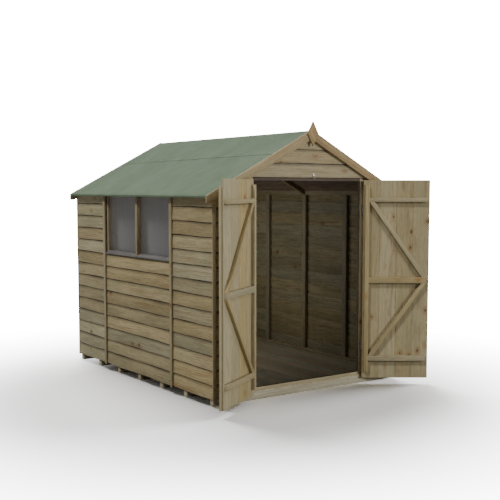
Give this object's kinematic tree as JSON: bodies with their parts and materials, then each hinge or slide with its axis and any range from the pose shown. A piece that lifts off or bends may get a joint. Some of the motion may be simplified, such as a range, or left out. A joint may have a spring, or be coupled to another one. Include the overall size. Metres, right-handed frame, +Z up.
{
  "type": "wooden garden shed",
  "caption": "Apex garden shed in overlap boards with open double doors, a fixed side window and a green felt roof.",
  "frame": {"origin": "on the ground under the middle of the floor, on the middle bearer's underside", "axes": "+X to the right across the front, +Y from the door front to the rear, +Z up"},
  "size_m": [2.0651, 2.7399, 2.162],
  "materials": {
    "overlap_boards": "rough sawn, pressure treated",
    "trim_timber": "planed, pressure treated",
    "frame_timber": "sawn, pressure treated",
    "door_timber": "planed, pressure treated",
    "floor_timber": "planed boards",
    "roof_timber": "planed boards",
    "roofing_felt": "mineral grit on bitumen",
    "glazing": "clear sheet",
    "galvanised_steel": "galvanised"
  },
  "bodies": {
    "root": {"floor_bearers": "frame_timber", "floor_deck": "floor_timber", "left_rear_panel": "overlap_boards", "left_window_panel": "overlap_boards", "left_front_panel": "overlap_boards", "right_rear_panel": "overlap_boards", "right_middle_panel": "overlap_boards", "right_front_panel": "overlap_boards", "front_left_panel": "overlap_boards", "front_right_panel": "overlap_boards", "front_gable_cladding": "overlap_boards", "rear_left_panel": "overlap_boards", "rear_right_panel": "overlap_boards", "rear_gable_cladding": "overlap_boards", "left_wall_studs": "frame_timber", "left_wall_rails": "frame_timber", "right_wall_studs": "frame_timber", "right_wall_rails": "frame_timber", "rear_wall_studs": "frame_timber", "rear_wall_rails": "frame_timber", "rear_gable_rafters": "frame_timber", "front_corner_studs": "frame_timber", "front_bottom_rails": "frame_timber", "front_gable_rafters": "frame_timber", "door_posts": "frame_timber", "door_header": "frame_timber", "door_sill_rail": "frame_timber", "left_cover_strips": "trim_timber", "right_cover_strips": "trim_timber", "front_corner_strips": "trim_timber", "rear_cover_strips": "trim_timber", "window_sill": "trim_timber", "window_mullion": "trim_timber", "window_panes": "glazing", "roof_boards_right": "roof_timber", "roof_boards_left": "roof_timber", "felt_right": "roofing_felt", "felt_left": "roofing_felt", "felt_ridge": "roofing_felt", "truss_rafters": "frame_timber", "front_barge_right": "trim_timber", "front_barge_left": "trim_timber", "rear_barge_right": "trim_timber", "rear_barge_left": "trim_timber", "front_finial": "trim_timber", "hinge_plates": "galvanised_steel", "header_catch": "galvanised_steel"},
    "left_door": {"left_door_boards": "door_timber", "left_door_stile": "door_timber", "left_door_ledges": "door_timber", "left_door_braces": "door_timber", "left_door_hinges": "galvanised_steel", "left_door_cover_strip": "door_timber"},
    "right_door": {"right_door_boards": "door_timber", "right_door_stile": "door_timber", "right_door_ledges": "door_timber", "right_door_braces": "door_timber", "right_door_hinges": "galvanised_steel"}
  },
  "joints": [
    {"name": "left_door_hinge", "type": "hinge", "parent": "root", "child": "left_door", "pos_m": [-0.558, -1.186, 0.88], "axis": [0, 0, 1], "range_deg": [0, 148]},
    {"name": "right_door_hinge", "type": "hinge", "parent": "root", "child": "right_door", "pos_m": [0.558, -1.186, 0.88], "axis": [0, 0, 1], "range_deg": [-144, 0]}
  ]
}
